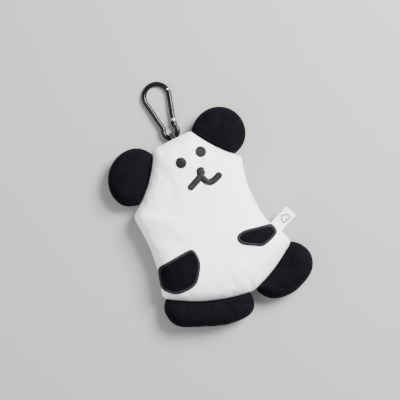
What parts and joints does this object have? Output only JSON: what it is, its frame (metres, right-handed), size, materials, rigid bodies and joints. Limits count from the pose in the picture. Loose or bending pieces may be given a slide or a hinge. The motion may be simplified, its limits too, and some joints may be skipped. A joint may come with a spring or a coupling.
{
  "type": "plush keychain",
  "caption": "Flat stuffed panda with sewn-on ears and feet, stitched patch arms and a folded side label, on a cord loop and a small gourd-shaped carabiner with a sprung gate.",
  "frame": {"origin": "on the flat of the back, straight below the middle of the cord loop", "axes": "+Y from the feet to the head and along the carabiner, +Z out of the tummy, +X to the right for someone who looks at the face"},
  "size_m": [0.1279, 0.2026, 0.03],
  "materials": {
    "white_plush": "short-pile plush, white",
    "black_plush": "short-pile velour, black",
    "filling": "loose polyester fibre",
    "black_thread": "satin-stitched embroidery thread, charcoal",
    "satin_ribbon": "woven satin ribbon, white",
    "black_cord": "round braided cord, black",
    "black_anodised": "glossy black anodised aluminium rod",
    "bright_metal": "bare bright steel"
  },
  "bodies": {
    "plush": {"body_front_panel": "white_plush", "body_back_panel": "white_plush", "body_stuffing": "filling", "left_arm_patch": "black_plush", "left_arm_stitching": "black_thread", "right_arm_patch": "black_plush", "right_arm_stitching": "black_thread", "left_eye": "black_thread", "right_eye": "black_thread", "nose_and_mouth": "black_thread", "loop_tails": "black_cord"},
    "left_ear": {"left_ear_front_panel": "black_plush", "left_ear_back_panel": "black_plush", "left_ear_stuffing": "filling"},
    "right_ear": {"right_ear_front_panel": "black_plush", "right_ear_back_panel": "black_plush", "right_ear_stuffing": "filling"},
    "left_foot": {"left_foot_front_panel": "black_plush", "left_foot_back_panel": "black_plush", "left_foot_stuffing": "filling"},
    "right_foot": {"right_foot_front_panel": "black_plush", "right_foot_back_panel": "black_plush", "right_foot_stuffing": "filling"},
    "label": {"side_label": "satin_ribbon"},
    "hanging_loop": {"loop_cord": "black_cord"},
    "carabiner": {"carabiner_frame": "black_anodised", "gate_latch_pin": "bright_metal", "gate_hinge_rivet": "bright_metal"},
    "gate": {"carabiner_gate": "black_anodised", "gate_spring": "bright_metal"},
    "plunger": {"gate_plunger": "bright_metal"}
  },
  "joints": [
    {"name": "left_ear_bend", "type": "hinge", "parent": "plush", "child": "left_ear", "pos_m": [-0.03695, 0.04685, 0.011], "axis": [0.6921, 0.7218, 0], "range_deg": [-25, 25], "stiffness_Nm_per_rad": 0.02},
    {"name": "right_ear_bend", "type": "hinge", "parent": "plush", "child": "right_ear", "pos_m": [0.02811, 0.04952, 0.011], "axis": [0.5965, -0.8026, 0], "range_deg": [-25, 25], "stiffness_Nm_per_rad": 0.02},
    {"name": "left_foot_bend", "type": "hinge", "parent": "plush", "child": "left_foot", "pos_m": [-0.03338, -0.05828, 0.011], "axis": [-0.9257, 0.3784, 0], "range_deg": [-25, 25], "stiffness_Nm_per_rad": 0.04},
    {"name": "right_foot_bend", "type": "hinge", "parent": "plush", "child": "right_foot", "pos_m": [0.02516, -0.05985, 0.011], "axis": [-0.8984, -0.4392, 0], "range_deg": [-25, 25], "stiffness_Nm_per_rad": 0.04},
    {"name": "label_bend", "type": "hinge", "parent": "plush", "child": "label", "pos_m": [0.04172, -0.03161, 0.011], "axis": [0.3584, -0.9336, 0], "range_deg": [-40, 40], "stiffness_Nm_per_rad": 0.0004},
    {"name": "loop_swing", "type": "hinge", "parent": "plush", "child": "hanging_loop", "pos_m": [0, 0.0706, 0.0095], "axis": [1, 0, 0], "range_deg": [-8, 120]},
    {"name": "carabiner_swing", "type": "hinge", "parent": "hanging_loop", "child": "carabiner", "pos_m": [0.0005, 0.07517, 0.00419], "axis": [0.0047, 0.0539, 0.9985], "range_deg": [-40, 40]},
    {"name": "gate_swing", "type": "hinge", "parent": "carabiner", "child": "gate", "pos_m": [0.00672, 0.08263, 0.00376], "axis": [0.0047, 0.0539, 0.9985], "range_deg": [0, 28], "stiffness_Nm_per_rad": 0.02, "springref_deg": -20.05},
    {"name": "plunger_slide", "type": "slide", "parent": "gate", "child": "plunger", "axis": [0.2989, 0.9528, -0.0528], "range_m": [0, 0.0006], "deforming": ["gate_spring"]}
  ],
  "couplings": [
    {"joint": "plunger_slide", "follows": "gate_swing", "m_per_rad": 0.00115}
  ]
}
